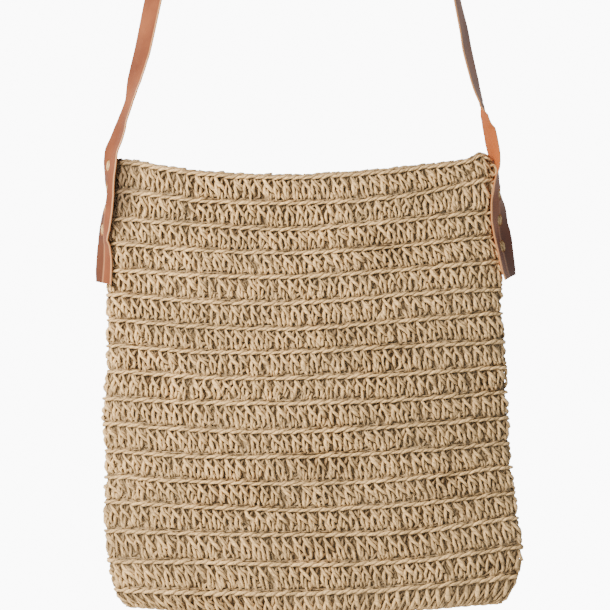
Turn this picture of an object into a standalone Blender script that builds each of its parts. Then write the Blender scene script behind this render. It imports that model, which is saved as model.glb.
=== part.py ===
"""Crochet shoulder bag: a jute body worked in rounds, hung by one leather strap laced to its sides.

Metres, +Z up, +X to the wearer's right across the bag, the bag's front towards -Y. The origin is the
underside of the strap at its crown, where a peg would carry it.
"""

import math
from collections import namedtuple

import bmesh
import bpy
from mathutils import Matrix, Vector

MM = 0.001

# From the strap's underside at the crown down to the rim's level, which is about its middle
CROWN_TO_RIM = 0.590

# Crochet body: its wall, and half its depth at the rim and at its fullest
WALL = 0.0045
SIDE_WALL = 0.0075
BOTTOM_WALL = 0.006
RIM_HALF_DEPTH = 0.012
BELLY_HALF_DEPTH = 0.018
RIM_ROUNDING = 0.0012
# The side edges are pinched like those of a flat bag: depth falls as (1 - s**POWER)**PINCH
POWER = 4
PINCH = 0.64
# Soft unevenness of the hanging panels, the same on front and back
SWAY = 0.0013
SWAY_ACROSS = 0.19
SWAY_DOWN = 0.23
FACES_ACROSS = 26

# A round of stitches between two ridges, as its share of the way down and how far it stands proud
RoundProfile = namedtuple("RoundProfile", "share proud")
ROUND_PROFILE = [
    RoundProfile(0.0, 0.0014),
    RoundProfile(0.2, -0.0004),
    RoundProfile(0.58, 0.0002),
]
# The chain that ends the last round lies this share of a round below the rim's top
RIM_CHAIN = 0.12

# Ridges from the rim down, in millimetres: how far each lies below the rim's level at five
# places across the bag, then where its two side edges are, measured from the line below the crown
Ridge = namedtuple("Ridge", "left half_left middle half_right right left_edge right_edge")
PLACES = (-0.93, -0.5, 0.0, 0.5, 0.95)
RIDGES = [
    Ridge(-12.8, -3.6, -1.6, -6.7, -14.0, -155.6, 128.8),
    Ridge(12.0, 19.3, 20.5, 15.8, 2.9, -158.2, 132.0),
    Ridge(32.6, 37.5, 40.4, 33.8, 27.7, -160.2, 131.9),
    Ridge(51.0, 56.3, 57.9, 52.8, 45.8, -160.1, 132.6),
    Ridge(71.1, 75.0, 75.5, 70.5, 64.5, -160.6, 134.4),
    Ridge(89.3, 94.5, 95.3, 89.0, 85.4, -159.9, 134.9),
    Ridge(108.5, 113.3, 114.6, 108.5, 103.1, -158.5, 134.7),
    Ridge(127.5, 132.0, 131.6, 127.4, 124.9, -159.3, 137.5),
    Ridge(147.0, 150.8, 151.0, 148.2, 143.6, -158.9, 138.0),
    Ridge(167.1, 169.8, 169.7, 167.3, 162.4, -162.0, 138.6),
    Ridge(185.9, 190.5, 191.2, 186.6, 181.8, -161.6, 139.7),
    Ridge(206.6, 210.0, 209.3, 205.8, 200.6, -160.2, 140.6),
    Ridge(226.0, 228.8, 230.0, 226.4, 218.6, -160.2, 142.0),
    Ridge(244.7, 247.7, 249.5, 245.4, 238.1, -160.6, 145.0),
    Ridge(266.2, 267.5, 268.2, 266.0, 256.8, -160.8, 147.2),
    Ridge(289.0, 289.0, 290.9, 287.6, 278.3, -158.8, 151.0),
    Ridge(311.0, 312.0, 311.7, 307.4, 300.5, -153.0, 147.1),
]
# The fold along the bottom, where the rounds close, and how quickly the corners round into it
BOTTOM = Ridge(323.0, 328.0, 328.5, 325.5, 320.5, -143.0, 132.0)
CORNER_POWER = 0.6
FOLD_ANGLES = (16, 42, 68)
HOLLOW_ROUNDS = (1, 4, 7, 10, 13)
HOLLOW_FOLD_ANGLES = (0, 45)

# Leather strap: one strip, with its smooth side out
STRAP_WIDTH = 0.022
STRAP_THICKNESS = 0.0014
CROWN_RADIUS = 0.025
CROWN_STEPS = 14
LEG_STEPS = 16
STEP_ALONG = 0.0065
# The ends are cut a little aslant, the front corner lower
END_SLANT = 0.0006

# The lie of each leg: height above the rim's level and place across in millimetres, and the
# degrees by which the front and the back half of its width turn out of the fore-and-aft direction
Lie = namedtuple("Lie", "above across front_turn back_turn")
LEFT_LEG = [
    Lie(-80.2, -163.9, 37, 31),
    Lie(-70.5, -163.0, 34, 38),
    Lie(-63.0, -162.5, 31, 38),
    Lie(-55.5, -162.4, 25, 35),
    Lie(-52.5, -162.3, 21, 34),
    Lie(-48.8, -162.8, 14, 28),
    Lie(-45.0, -163.0, 18, 25),
    Lie(-40.5, -163.1, 25, 21),
    Lie(-33.0, -162.7, 29, 16),
    Lie(-25.5, -161.8, 30, 12),
    Lie(-20.3, -161.4, 30, 5),
    Lie(-14.3, -160.7, 29, 4),
    Lie(-9.0, -160.3, 27, 8),
    Lie(-4.5, -160.1, 27, 14),
    Lie(0.8, -159.5, 26, 19),
    Lie(6.0, -158.6, 25, 27),
    Lie(12.0, -157.9, 25, 32),
    Lie(19.5, -156.2, 21, 37),
    Lie(27.0, -153.2, 21, 34),
    Lie(34.5, -150.4, 18, 33),
    Lie(42.0, -148.1, 13, 28),
    Lie(49.5, -145.4, 12, 26),
    Lie(57.0, -142.7, 10, 27),
    Lie(64.5, -141.2, 17, 31),
    Lie(72.0, -140.3, 29, 31),
    Lie(84.0, -137.4, 35, 32),
    Lie(94.5, -134.7, 39, 33),
    Lie(132.0, -126.5, 39, 37),
]
RIGHT_LEG = [
    Lie(-76.1, 142.5, 20, 30),
    Lie(-70.5, 140.6, 21, 40),
    Lie(-63.0, 138.8, 21, 46),
    Lie(-55.5, 136.9, 19, 53),
    Lie(-48.0, 135.4, 21, 58),
    Lie(-40.5, 134.3, 24, 55),
    Lie(-33.0, 134.6, 34, 39),
    Lie(-25.5, 134.9, 37, 31),
    Lie(-20.3, 134.9, 37, 23),
    Lie(-16.5, 135.1, 36, 13),
    Lie(-12.0, 134.9, 29, 6),
    Lie(-6.8, 134.6, 22, 8),
    Lie(-3.0, 134.6, 18, 2),
    Lie(0.8, 134.4, 12, -8),
    Lie(3.8, 133.9, 1, -10),
    Lie(6.8, 133.2, -8, -10),
    Lie(10.5, 132.4, -14, -14),
    Lie(15.0, 131.6, -18, -18),
    Lie(19.5, 130.8, -20, -21),
    Lie(27.0, 129.2, -21, -22),
    Lie(30.8, 128.4, -21, -20),
    Lie(34.5, 127.1, -23, -17),
    Lie(38.3, 125.6, -15, -12),
    Lie(42.0, 124.7, -11, -9),
    Lie(45.8, 123.9, -9, -9),
    Lie(49.5, 122.9, 3, -6),
    Lie(53.2, 121.8, 8, 5),
    Lie(57.0, 120.5, 11, 13),
    Lie(64.5, 118.3, 13, 16),
    Lie(72.0, 116.3, 16, 19),
    Lie(94.5, 110.9, 19, 21),
    Lie(109.5, 108.1, 16, 21),
    Lie(132.0, 104.0, 17, 13),
]

# Punched holes for the lacing: their heights above the rim's level, and how far behind the strap's
# centre line those of each leg lie
HOLE_LENGTH = 0.0095
HOLE_WIDTH = 0.006
HOLE_SIDES = 16
CUTTER_DEPTH = 0.010
LEFT_HOLES = (0.0083, -0.0083, -0.0240, -0.0398)
RIGHT_HOLES = (0.0053, -0.0135, -0.0330, -0.0525)
LEFT_HOLE_SHIFT = 0.0035
RIGHT_HOLE_SHIFT = 0.0005

FORWARD = Vector((0, -1, 0))


def clear_scene():
    for obj in list(bpy.data.objects):
        bpy.data.objects.remove(obj)


def new_collection(name):
    collection = bpy.data.collections.new(name)
    bpy.context.scene.collection.children.link(collection)
    return collection


def material(name, colour, roughness):
    made = bpy.data.materials.new(name)
    made.use_nodes = True
    shader = made.node_tree.nodes["Principled BSDF"]
    shader.inputs["Base Color"].default_value = (*colour, 1)
    shader.inputs["Roughness"].default_value = roughness
    shader.inputs["Metallic"].default_value = 0
    return made


def add_object(name, bm, collection, finish=None):
    """An object of the bmesh, which is freed."""
    mesh = bpy.data.meshes.new(name)
    bm.to_mesh(mesh)
    bm.free()
    obj = bpy.data.objects.new(name, mesh)
    collection.objects.link(obj)
    if finish:
        mesh.materials.append(finish)
    return obj


def lerp(a, b, share):
    return a + (b - a) * share


def smooth_through(places, values, at):
    """A smooth curve through the values at their places, level beyond the first and last."""
    at = min(max(at, places[0]), places[-1])
    last = len(places) - 2
    k = max(i for i in range(last + 1) if places[i] <= at)
    span = places[k + 1] - places[k]
    before = max(k - 1, 0)
    after = min(k + 2, last + 1)
    slope_in = (values[k + 1] - values[before]) / (places[k + 1] - places[before])
    slope_out = (values[after] - values[k]) / (places[after] - places[k])
    t = (at - places[k]) / span
    return (
        values[k] * (2 * t**3 - 3 * t**2 + 1)
        + values[k + 1] * (3 * t**2 - 2 * t**3)
        + slope_in * span * (t**3 - 2 * t**2 + t)
        + slope_out * span * (t**3 - t**2)
    )


def between(upper, lower, share, edge_share=None):
    """The line that lies this share of the way from one ridge to the next."""
    edge_share = share if edge_share is None else edge_share
    heights = [lerp(a, b, share) for a, b in zip(upper[:5], lower[:5])]
    edges = [lerp(a, b, edge_share) for a, b in zip(upper[5:], lower[5:])]
    return Ridge(*heights, *edges)


def half_depth(rounds_down):
    """Half the bag's depth at its middle, from the rim down to the bottom fold."""
    share = rounds_down / len(RIDGES)
    return lerp(RIM_HALF_DEPTH, BELLY_HALF_DEPTH, math.sin(math.pi * share))


def line_at(rounds_down):
    """The line round the bag at a number of rounds below the rim."""
    k = min(int(rounds_down), len(RIDGES) - 2)
    return between(RIDGES[k], RIDGES[k + 1], rounds_down - k)


def ring(bm, line, depth, inset=0.0, lift=0.0):
    """Points round the bag along a line: over the front from its left edge, and back behind."""
    left = line.left_edge * MM + inset
    right = line.right_edge * MM - inset
    points = []
    for step in range(2 * FACES_ACROSS):
        s = -math.cos(math.pi * step / FACES_ACROSS)
        side = -1 if step < FACES_ACROSS else 1
        fullness = max(0.0, 1 - abs(s) ** POWER) ** PINCH
        x = lerp(left, right, (s + 1) / 2)
        z = -CROWN_TO_RIM - smooth_through(PLACES, line[:5], s) * MM + lift
        wave = math.sin(math.tau * x / SWAY_ACROSS + 1) * math.sin(math.tau * z / SWAY_DOWN)
        y = side * depth * fullness + SWAY * wave * (1 - s * s)
        points.append(bm.verts.new((x, y, z)))
    return points


def fold_line(bm, line, inset=0.0, lift=0.0):
    """A ring pressed flat, whose front and back points are the same ones."""
    points = ring(bm, line, 0.0, inset, lift)
    front = points[: FACES_ACROSS + 1]
    for spare in points[FACES_ACROSS + 1 :]:
        bm.verts.remove(spare)
    return front + front[-2:0:-1]


def fold_ring(bm, angle, wall=0.0, inset=0.0, lift=0.0):
    """A ring of the bottom, which turns under from the last ridge as its angle grows."""
    turned = 1 - math.cos(math.radians(angle))
    line = between(RIDGES[-1], BOTTOM, math.sin(math.radians(angle)), turned**CORNER_POWER)
    depth = (half_depth(len(RIDGES) - 1) - wall) * math.cos(math.radians(angle))
    return ring(bm, line, depth, inset, lift)


def outside_rings(bm):
    """The outer face from the bottom fold up to the rim, with a ridge at the top of each round."""
    rings = [fold_line(bm, BOTTOM)]
    rings += [fold_ring(bm, angle) for angle in reversed(FOLD_ANGLES)]
    last = len(RIDGES) - 1
    rings.append(ring(bm, RIDGES[last], half_depth(last) + ROUND_PROFILE[0].proud))
    for round_above in reversed(range(last)):
        for share, proud in reversed(ROUND_PROFILE):
            if round_above == 0:
                share = max(share, RIM_CHAIN)
            down = round_above + share
            rings.append(ring(bm, line_at(down), half_depth(down) + proud))
    return rings


def inside_rings(bm):
    """The rim's top and the inner face from there down to the inner fold."""
    rings = [
        ring(bm, RIDGES[0], RIM_HALF_DEPTH - RIM_ROUNDING, RIM_ROUNDING),
        ring(bm, RIDGES[0], RIM_HALF_DEPTH - WALL + RIM_ROUNDING, SIDE_WALL - RIM_ROUNDING),
    ]
    for down in (RIM_CHAIN, *HOLLOW_ROUNDS):
        rings.append(ring(bm, line_at(down), half_depth(down) - WALL, SIDE_WALL))
    for angle in HOLLOW_FOLD_ANGLES:
        rings.append(fold_ring(bm, angle, WALL, SIDE_WALL, BOTTOM_WALL * angle / 90))
    rings.append(fold_line(bm, BOTTOM, SIDE_WALL, BOTTOM_WALL))
    return rings


def make_body(collection):
    """The crochet body: one shell, open at the rim, closed and rounded along its bottom."""
    bm = bmesh.new()
    rings = outside_rings(bm) + inside_rings(bm)
    for lower, upper in zip(rings, rings[1:]):
        for k, point in enumerate(lower):
            following = (k + 1) % len(lower)
            bm.faces.new((point, lower[following], upper[following], upper[k]))
    jute = material("jute_yarn", (0.46, 0.33, 0.19), 0.9)
    body = add_object("bag_body", bm, collection, jute)
    body.data.shade_smooth()
    return body


class Section:
    """One place along the strap: its outer face's centre line, and how its two halves lie there."""

    def __init__(self, centre, front_turn, back_turn):
        self.centre = centre
        self.front_turn = math.radians(front_turn)
        self.back_turn = math.radians(back_turn)
        self.along = None
        self.inward = None

    def aim(self, before, after):
        """Sets the directions along the strap and across to the inside of its loop."""
        self.along = (after.centre - before.centre).normalized()
        self.inward = self.along.cross(FORWARD)

    def front_way(self):
        return math.cos(self.front_turn) * FORWARD + math.sin(self.front_turn) * self.inward

    def back_way(self):
        return -math.cos(self.back_turn) * FORWARD - math.sin(self.back_turn) * self.inward


def leg_sections(leg):
    """Sections up one leg from its end, a few millimetres apart, through the rows of its table."""
    heights = [lie.above for lie in leg]
    places = [lie.across for lie in leg]
    sections = []
    for lower, upper in zip(leg, leg[1:]):
        rise = (upper.above - lower.above) * MM
        steps = max(1, round(rise / STEP_ALONG))
        for step in range(steps):
            share = step / steps
            above = lerp(lower.above, upper.above, share)
            centre = Vector((smooth_through(heights, places, above), 0, above)) * MM
            centre.z -= CROWN_TO_RIM
            front_turn = lerp(lower.front_turn, upper.front_turn, share)
            back_turn = lerp(lower.back_turn, upper.back_turn, share)
            sections.append(Section(centre, front_turn, back_turn))
    return sections


def tangent_angle(top, side):
    """The angle on the crown's circle where a straight leg from this point meets it."""
    radius = CROWN_RADIUS + STRAP_THICKNESS
    centre = Vector((0, 0, -CROWN_RADIUS))
    away = top - centre
    return math.atan2(away.z, away.x) + side * math.acos(radius / away.length)


def straight_leg(lie, side):
    """The straight stretch from the top row of a leg's table to the crown, where its turn ends."""
    top = Vector((lie.across * MM, 0, lie.above * MM - CROWN_TO_RIM))
    angle = tangent_angle(top, side)
    meets = crown_point(angle)
    sections = []
    for step in range(LEG_STEPS):
        share = step / LEG_STEPS
        left = (1 + math.cos(math.pi * share)) / 2
        centre = top.lerp(meets, share)
        sections.append(Section(centre, lie.front_turn * left, lie.back_turn * left))
    return sections, angle


def crown_point(angle):
    radius = CROWN_RADIUS + STRAP_THICKNESS
    return Vector((radius * math.cos(angle), 0, radius * math.sin(angle) - CROWN_RADIUS))


def strap_sections():
    """Every section of the strap, from its left end over the crown to its right end."""
    left, left_angle = straight_leg(LEFT_LEG[-1], -1)
    right, right_angle = straight_leg(RIGHT_LEG[-1], 1)
    left_angle %= math.tau
    sections = leg_sections(LEFT_LEG) + left
    for step in range(CROWN_STEPS + 1):
        angle = lerp(left_angle, right_angle, step / CROWN_STEPS)
        sections.append(Section(crown_point(angle), 0, 0))
    sections += reversed(leg_sections(RIGHT_LEG) + right)
    for k, section in enumerate(sections):
        before = sections[max(k - 1, 0)]
        after = sections[min(k + 1, len(sections) - 1)]
        section.aim(before, after)
    return sections


def section_points(section, slant):
    """Five points across the strap's outer face, from its front edge to its back edge."""
    half = STRAP_WIDTH / 2
    front = section.front_way()
    back = section.back_way()
    low = Vector((0, 0, -slant))
    centre = section.centre
    return [
        centre + front * half + low,
        centre + front * half / 2 + low / 2,
        centre,
        centre + back * half / 2 - low / 2,
        centre + back * half - low,
    ]


def add_hole(bm, sections, height, side, shift):
    """A long round cutter through the strap, at this height above the rim on the leg of one side."""
    level = height - CROWN_TO_RIM
    leg = [section for section in sections if section.centre.x * side > CROWN_RADIUS]
    near = min(leg, key=lambda section: abs(section.centre.z - level))
    back = near.back_way()
    through = back.cross(near.along).normalized()
    centre = near.centre + back * shift
    centre.z = level
    frame = Matrix((back * HOLE_WIDTH / 2, near.along * HOLE_LENGTH / 2, through * CUTTER_DEPTH))
    placed = Matrix.Translation(centre) @ frame.transposed().to_4x4()
    bmesh.ops.create_cone(
        bm,
        cap_ends=True,
        segments=HOLE_SIDES,
        radius1=1,
        radius2=1,
        depth=1,
        matrix=placed,
    )


def make_strap(collection, cutters):
    """The strap: an open ribbon given its thickness inwards, with its lacing holes punched."""
    sections = strap_sections()
    bm = bmesh.new()
    rows = []
    for k, section in enumerate(sections):
        slant = END_SLANT if k in (0, len(sections) - 1) else 0.0
        rows.append([bm.verts.new(point) for point in section_points(section, slant)])
    for row, following in zip(rows, rows[1:]):
        for k in range(len(row) - 1):
            bm.faces.new((row[k + 1], row[k], following[k], following[k + 1]))
    leather = material("tan_leather", (0.42, 0.19, 0.10), 0.5)
    strap = add_object("strap", bm, collection, leather)
    thick = strap.modifiers.new("thickness", "SOLIDIFY")
    thick.thickness = STRAP_THICKNESS
    thick.offset = -1
    thick.use_even_offset = True

    holes = bmesh.new()
    for height in LEFT_HOLES:
        add_hole(holes, sections, height, -1, LEFT_HOLE_SHIFT)
    for height in RIGHT_HOLES:
        add_hole(holes, sections, height, 1, RIGHT_HOLE_SHIFT)
    bmesh.ops.recalc_face_normals(holes, faces=holes.faces)
    punch = add_object("lacing_hole_punch", holes, cutters)
    punch.hide_render = True
    punch.display_type = "WIRE"
    cut = strap.modifiers.new("lacing_holes", "BOOLEAN")
    cut.operation = "DIFFERENCE"
    cut.solver = "EXACT"
    cut.object = punch
    return strap


clear_scene()
bag = new_collection("crochet_shoulder_bag")
make_body(bag)
make_strap(bag, new_collection("cutters"))
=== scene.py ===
"""Looks of the crochet shoulder bag: every strand of its jute stitches, its leather strap and the lacing.

Metres, +Z up, the bag's front towards -Y. The origin is the underside of the strap at its crown, where
a peg would carry it. The tables are in millimetres. They are those of the part's source, but for two
side points of the body and three rows of the right leg, which lie up to 1.6 mm nearer to the photo.
"""

import math
from collections import namedtuple
from functools import partial

import bmesh
import bpy
from mathutils import Matrix, Vector


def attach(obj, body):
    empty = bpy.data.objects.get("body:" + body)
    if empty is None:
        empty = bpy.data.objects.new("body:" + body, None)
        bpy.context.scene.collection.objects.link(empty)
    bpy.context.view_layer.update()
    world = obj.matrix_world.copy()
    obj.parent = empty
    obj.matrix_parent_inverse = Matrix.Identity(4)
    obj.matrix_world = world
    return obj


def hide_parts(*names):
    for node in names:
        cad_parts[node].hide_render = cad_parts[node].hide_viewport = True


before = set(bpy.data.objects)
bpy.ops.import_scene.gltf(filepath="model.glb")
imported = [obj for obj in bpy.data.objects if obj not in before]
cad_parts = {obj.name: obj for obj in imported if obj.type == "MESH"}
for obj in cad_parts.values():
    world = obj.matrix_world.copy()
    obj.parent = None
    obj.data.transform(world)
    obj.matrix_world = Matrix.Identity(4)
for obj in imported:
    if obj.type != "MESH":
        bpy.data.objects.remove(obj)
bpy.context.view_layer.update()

MM = 0.001

# Crochet body: from the crown down to the rim's level, half its depth at the rim and at its fullest,
# how its side edges are pinched, how far and over what lengths it sways, and its walls
CROWN_TO_RIM = 0.590
RIM_HALF_DEPTH = 0.012
BELLY_HALF_DEPTH = 0.018
POWER = 4
PINCH = 0.64
SWAY = 0.0013
SWAY_ACROSS = 0.19
SWAY_DOWN = 0.23
WALL = 0.0045
SIDE_WALL = 0.0075
BOTTOM_WALL = 0.006

# Ridges from the rim down: how far each lies below the rim's level at five places across the
# bag, then where its two side edges are, measured from the line below the crown
Ridge = namedtuple("Ridge", "left half_left middle half_right right left_edge right_edge")
PLACES = (-0.93, -0.5, 0.0, 0.5, 0.95)
RIDGES = [
    Ridge(-12.8, -3.6, -1.6, -6.7, -14.0, -155.6, 128.8),
    Ridge(12.0, 19.3, 20.5, 15.8, 2.9, -158.2, 132.7),
    Ridge(32.6, 37.5, 40.4, 33.8, 27.7, -160.2, 131.9),
    Ridge(51.0, 56.3, 57.9, 52.8, 45.8, -160.1, 132.6),
    Ridge(71.1, 75.0, 75.5, 70.5, 64.5, -160.6, 135.6),
    Ridge(89.3, 94.5, 95.3, 89.0, 85.4, -159.9, 134.9),
    Ridge(108.5, 113.3, 114.6, 108.5, 103.1, -158.5, 134.7),
    Ridge(127.5, 132.0, 131.6, 127.4, 124.9, -159.3, 137.5),
    Ridge(147.0, 150.8, 151.0, 148.2, 143.6, -158.9, 138.0),
    Ridge(167.1, 169.8, 169.7, 167.3, 162.4, -162.0, 138.6),
    Ridge(185.9, 190.5, 191.2, 186.6, 181.8, -161.6, 139.7),
    Ridge(206.6, 210.0, 209.3, 205.8, 200.6, -160.2, 140.6),
    Ridge(226.0, 228.8, 230.0, 226.4, 218.6, -160.2, 142.0),
    Ridge(244.7, 247.7, 249.5, 245.4, 238.1, -160.6, 145.0),
    Ridge(266.2, 267.5, 268.2, 266.0, 256.8, -160.8, 147.2),
    Ridge(289.0, 289.0, 290.9, 287.6, 278.3, -158.8, 151.0),
    Ridge(311.0, 312.0, 311.7, 307.4, 300.5, -153.0, 147.1),
]
BOTTOM = Ridge(323.0, 328.0, 328.5, 325.5, 320.5, -143.0, 132.0)
# How sharply the lower corners turn in
CORNER_POWER = 0.6
ROUNDS = len(RIDGES)

# Gauge of the crochet: stitches all the way round, and the plain size of one stitch
STITCHES_ROUND = 80
STITCH_WIDTH = 0.0075
ROUND_HEIGHT = 0.0193

# The lie of the bag, on which the stitches are worked: its first ridge lies a chain's thickness below
# the rim's top, and it is carried on above that. Beside the strap, down to the named rounds at left and
# right, it lies in from the side edges, and farther down so that the strands reach the outline
RIM_CHAIN_DROP = 3.0
LIE_ABOVE_RIM = 0.4
LIE_ROWS_A_ROUND = 8
LIE_COLUMNS_A_STITCH = 4
EDGE_INSET_AT_STRAP = 0.0010
EDGE_INSET_BELOW = -0.0004
STRAP_END_ROUNDS = (4.4, 3.1)
PROFILE_STEPS = 120

# The last stitches at the right of the rim, drawn up into a knuckle
KNUCKLE_RISE = 0.0047
KNUCKLE_PLACE = 0.1196
KNUCKLE_SPREAD = 0.006

# Cloth under the strands: how far it lies below them, between two ridges and at a ridge
CLOTH_SUNK = 0.0012
CLOTH_SUNK_AT_RIDGE = 0.0006
CLOTH_EDGE_SUNK = 0.0005
CLOTH_COLUMNS_A_STITCH = 3
CLOTH_ROWS_A_ROUND = 6
# Rows of its inner face, past the last ridge and at the rim, and the ends of its outer face, in rounds
CLOTH_FOLD_ROWS = (0.96, 0.75, 0.5, 0.25)
CLOTH_RIM_ROWS = (0.06, -0.06)
CLOTH_TOP = -0.08
CLOTH_SHORT_OF_BOTTOM = 0.03

# Leather strap, with its smooth side out
STRAP_WIDTH = 0.022
STRAP_THICKNESS = 0.0014
CROWN_RADIUS = 0.025
OUTER_RADIUS = CROWN_RADIUS + STRAP_THICKNESS
CROWN_STEPS = 40
LEG_STEPS = 110
STEP_ALONG = 0.0022
END_SLANT = 0.0006
SHARP_ANGLE = math.radians(38)

# The lie of each leg: height above the rim's level and place across, and the degrees by which
# the front and the back half of its width turn out of the fore-and-aft direction
Lie = namedtuple("Lie", "above across front_turn back_turn")
LEFT_LEG = [
    Lie(*row)
    for row in (
        (-80.2, -163.9, 37, 31), (-70.5, -163.0, 34, 38), (-63.0, -162.5, 31, 38), (-55.5, -162.4, 25, 35),
        (-52.5, -162.3, 21, 34), (-48.8, -162.8, 14, 28), (-45.0, -163.0, 18, 25), (-40.5, -163.1, 25, 21),
        (-33.0, -162.7, 29, 16), (-25.5, -161.8, 30, 12), (-20.3, -161.4, 30, 5), (-14.3, -160.7, 29, 4),
        (-9.0, -160.3, 27, 8), (-4.5, -160.1, 27, 14), (0.8, -159.5, 26, 19), (6.0, -158.6, 25, 27),
        (12.0, -157.9, 25, 32), (19.5, -156.2, 21, 37), (27.0, -153.2, 21, 34), (34.5, -150.4, 18, 33),
        (42.0, -148.1, 13, 28), (49.5, -145.4, 12, 26), (57.0, -142.7, 10, 27), (64.5, -141.2, 17, 31),
        (72.0, -140.3, 29, 31), (84.0, -137.4, 35, 32), (94.5, -134.7, 39, 33), (132.0, -126.5, 39, 37),
    )
]
RIGHT_LEG = [
    Lie(*row)
    for row in (
        (-76.1, 142.5, 20, 30), (-70.5, 140.6, 21, 40), (-63.0, 138.8, 21, 46), (-55.5, 136.9, 19, 53),
        (-48.0, 135.4, 21, 58), (-40.5, 134.3, 24, 55), (-33.0, 134.6, 34, 39), (-25.5, 134.9, 37, 31),
        (-20.3, 134.9, 37, 23), (-16.5, 135.1, 36, 13), (-12.0, 134.9, 29, 6), (-6.8, 134.6, 22, 8),
        (-3.0, 134.6, 18, 2), (0.8, 134.4, 12, -8), (3.8, 133.9, 1, -10), (6.8, 133.2, -8, -10),
        (10.5, 132.4, -14, -14), (15.0, 131.6, -18, -18), (19.5, 130.8, -20, -21), (27.0, 129.2, -21, -22),
        (30.8, 128.4, -21, -20), (34.5, 127.1, -23, -17), (38.3, 125.6, -15, -12), (42.0, 124.7, -11, -9),
        (45.8, 123.9, -9, -9), (49.5, 123.9, 8, -10), (53.2, 123.2, 16, -6), (57.0, 121.6, 13, 8),
        (64.5, 118.3, 13, 16), (72.0, 116.3, 16, 19), (94.5, 110.9, 19, 21), (109.5, 108.1, 16, 21),
        (132.0, 104.0, 17, 13),
    )
]
# Lacing holes: their size, then each leg's side, how far they lie behind its fold, and their heights
HOLE_LENGTH = 0.0095
HOLE_WIDTH = 0.006
HOLE_SIDES = 28
PUNCH_LENGTH = 0.010
HOLE_ROWS = (
    (-1, 0.0035, (0.0083, -0.0083, -0.0240, -0.0398)),
    (1, 0.0005, (0.0053, -0.0135, -0.0330, -0.0525)),
)

FORWARD = Vector((0, -1, 0))

# Camera of the photograph, square to the bag's front: 457.5 mm across at the bag
PHOTO_DISTANCE = 2.4
PHOTO_CENTRE = (-0.0116, -0.005, -0.68675)
PHOTO_WIDTH = 0.4575
SENSOR_WIDTH = 36.0

FLOOR_HEIGHT = -1.06
FLOOR_RADIUS = 1.2
FLOOR_SIDES = 96

# The most used kinds of node
MATH = "ShaderNodeMath"
VECTOR_MATH = "ShaderNodeVectorMath"
MIX = "ShaderNodeMixRGB"
MAP_RANGE = "ShaderNodeMapRange"
NOISE = "ShaderNodeTexNoise"
STORE = "GeometryNodeStoreNamedAttribute"


# Helpers

def lerp(a, b, share):
    return a + (b - a) * share


def smooth_through(places, values, at):
    """A smooth curve through the values at their places, level beyond the first and last."""
    at = min(max(at, places[0]), places[-1])
    last = len(places) - 2
    k = max(i for i in range(last + 1) if places[i] <= at)
    span = places[k + 1] - places[k]
    before = max(k - 1, 0)
    after = min(k + 2, last + 1)
    slope_in = (values[k + 1] - values[before]) / (places[k + 1] - places[before])
    slope_out = (values[after] - values[k]) / (places[after] - places[k])
    t = (at - places[k]) / span
    return (
        values[k] * (2 * t**3 - 3 * t**2 + 1)
        + values[k + 1] * (3 * t**2 - 2 * t**3)
        + slope_in * span * (t**3 - 2 * t**2 + t)
        + slope_out * span * (t**3 - t**2)
    )


def linear(code):
    """The linear colour of an sRGB hex code."""
    parts = [int(code[k : k + 2], 16) / 255 for k in (0, 2, 4)]
    bent = [c / 12.92 if c <= 0.04045 else ((c + 0.055) / 1.055) ** 2.4 for c in parts]
    return (*bent, 1.0)


def add(tree, kind, inputs=(), operation=None, **settings):
    """Adds a node; inputs gives its sockets, in their order or by name or number, values or outputs.

    A node in the place of an output stands for its first one. Only some kinds have an operation.
    """
    node = tree.nodes.new(kind)
    if operation:
        node.operation = operation
    for name, value in settings.items():
        setattr(node, name, value)
    wanted = inputs if isinstance(inputs, dict) else dict(enumerate(inputs))
    for socket, value in wanted.items():
        if isinstance(value, bpy.types.Node):
            value = value.outputs[0]
        if isinstance(value, bpy.types.NodeSocket):
            tree.links.new(value, node.inputs[socket])
        else:
            node.inputs[socket].default_value = value
    return node


def object_of(name, mesh, *materials):
    obj = bpy.data.objects.new(name, mesh)
    bpy.context.scene.collection.objects.link(obj)
    for finish in materials:
        mesh.materials.append(finish)
    return obj


def finish_piece(obj, node):
    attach(obj, "root")
    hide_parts(node)


def drawn_mesh(name, bm):
    """The mesh of what was drawn, which ends the drawing."""
    mesh = bpy.data.meshes.new(name)
    bm.to_mesh(mesh)
    bm.free()
    return mesh


def plain_mesh(name, obj):
    """The evaluated object as a plain mesh of its own; the object with its modifiers is removed."""
    seen = obj.evaluated_get(bpy.context.evaluated_depsgraph_get())
    mesh = bpy.data.meshes.new_from_object(seen)
    mesh.name = name
    bpy.data.objects.remove(obj)
    return mesh


def net(rows):
    """The cells of a net closed round its columns: row, column, and four corners, its own row's first."""
    for r, (row, following) in enumerate(zip(rows, rows[1:])):
        for k in range(len(row)):
            after = (k + 1) % len(row)
            yield r, k, row[k], row[after], following[k], following[after]


def lengths_along(points):
    """How far each point of a line is from its first, along the line."""
    run = [0.0]
    for a, b in zip(points, points[1:]):
        run.append(run[-1] + (b - a).length)
    return run


# The lie of the bag

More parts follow.
